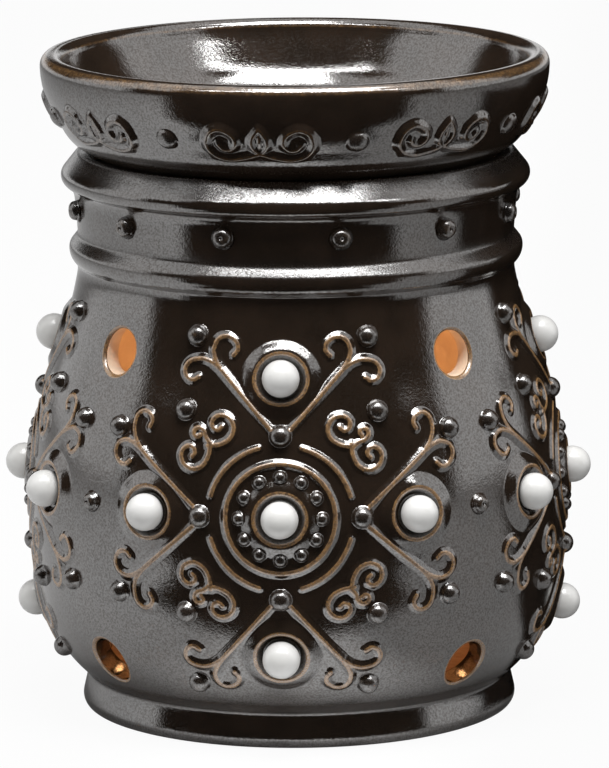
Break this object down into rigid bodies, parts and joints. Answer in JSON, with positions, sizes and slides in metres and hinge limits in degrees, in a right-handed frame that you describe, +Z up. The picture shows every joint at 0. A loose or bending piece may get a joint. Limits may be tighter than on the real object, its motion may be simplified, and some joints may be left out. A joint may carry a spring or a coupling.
{
  "type": "wax melt warmer",
  "caption": "Round-bellied glazed table warmer with pearl-set scroll medallions, light holes, a lift-off wax dish and a lamp that pulls out from below.",
  "frame": {"origin": "on the axis, on the surface that the foot pads stand on", "axes": "+Z up along the axis, -Y through the front medallion, +X to the right of it"},
  "size_m": [0.1338, 0.1338, 0.15],
  "materials": {
    "glaze": "gunmetal lustre glaze that breaks to copper brown on the edges",
    "pearl": "pearlescent satin",
    "pad_rubber": "soft matte",
    "plated_steel": "zinc plated",
    "spring_steel": "rolled spring strip",
    "socket_plastic": "moulded phenolic",
    "bushing_plastic": "moulded",
    "brass": "drawn",
    "bulb_glass": "clear",
    "cap_metal": "rolled",
    "cap_glass": "black cap glass",
    "solder": "dull",
    "wire": "drawn",
    "filament": "tungsten"
  },
  "bodies": {
    "vessel": {"vessel": "glaze", "vessel_base": "glaze", "medallions": "glaze", "pearls": "pearl", "foot_pads": "pad_rubber"},
    "dish": {"dish": "glaze"},
    "lamp_kit": {"mount_plate": "plated_steel", "spring_wing_left": "spring_steel", "spring_wing_right": "spring_steel", "wing_rivets": "plated_steel", "socket_barrel": "socket_plastic", "contact_carrier": "socket_plastic", "screw_shell": "brass", "centre_contact": "brass", "threaded_nipple": "plated_steel", "lock_nut": "brass", "washer": "plated_steel", "cord_bushing": "bushing_plastic"},
    "bulb": {"glass_globe": "bulb_glass", "bulb_cap": "cap_metal", "cap_insulator": "cap_glass", "cap_contact": "solder", "glass_stem": "bulb_glass", "lead_wires": "wire", "filament": "filament", "filament_support": "wire"}
  },
  "joints": [
    {"name": "dish_lift", "type": "slide", "parent": "vessel", "child": "dish", "axis": [0, 0, 1], "range_m": [0, 0.08]},
    {"name": "lamp_pull", "type": "slide", "parent": "vessel", "child": "lamp_kit", "axis": [0, 0, -1], "range_m": [0, 0.09]},
    {"name": "bulb_unscrew", "type": "hinge", "parent": "lamp_kit", "child": "bulb", "pos_m": [0, 0, 0.0266], "axis": [0, 0, 1], "range_deg": [0, 990]}
  ]
}
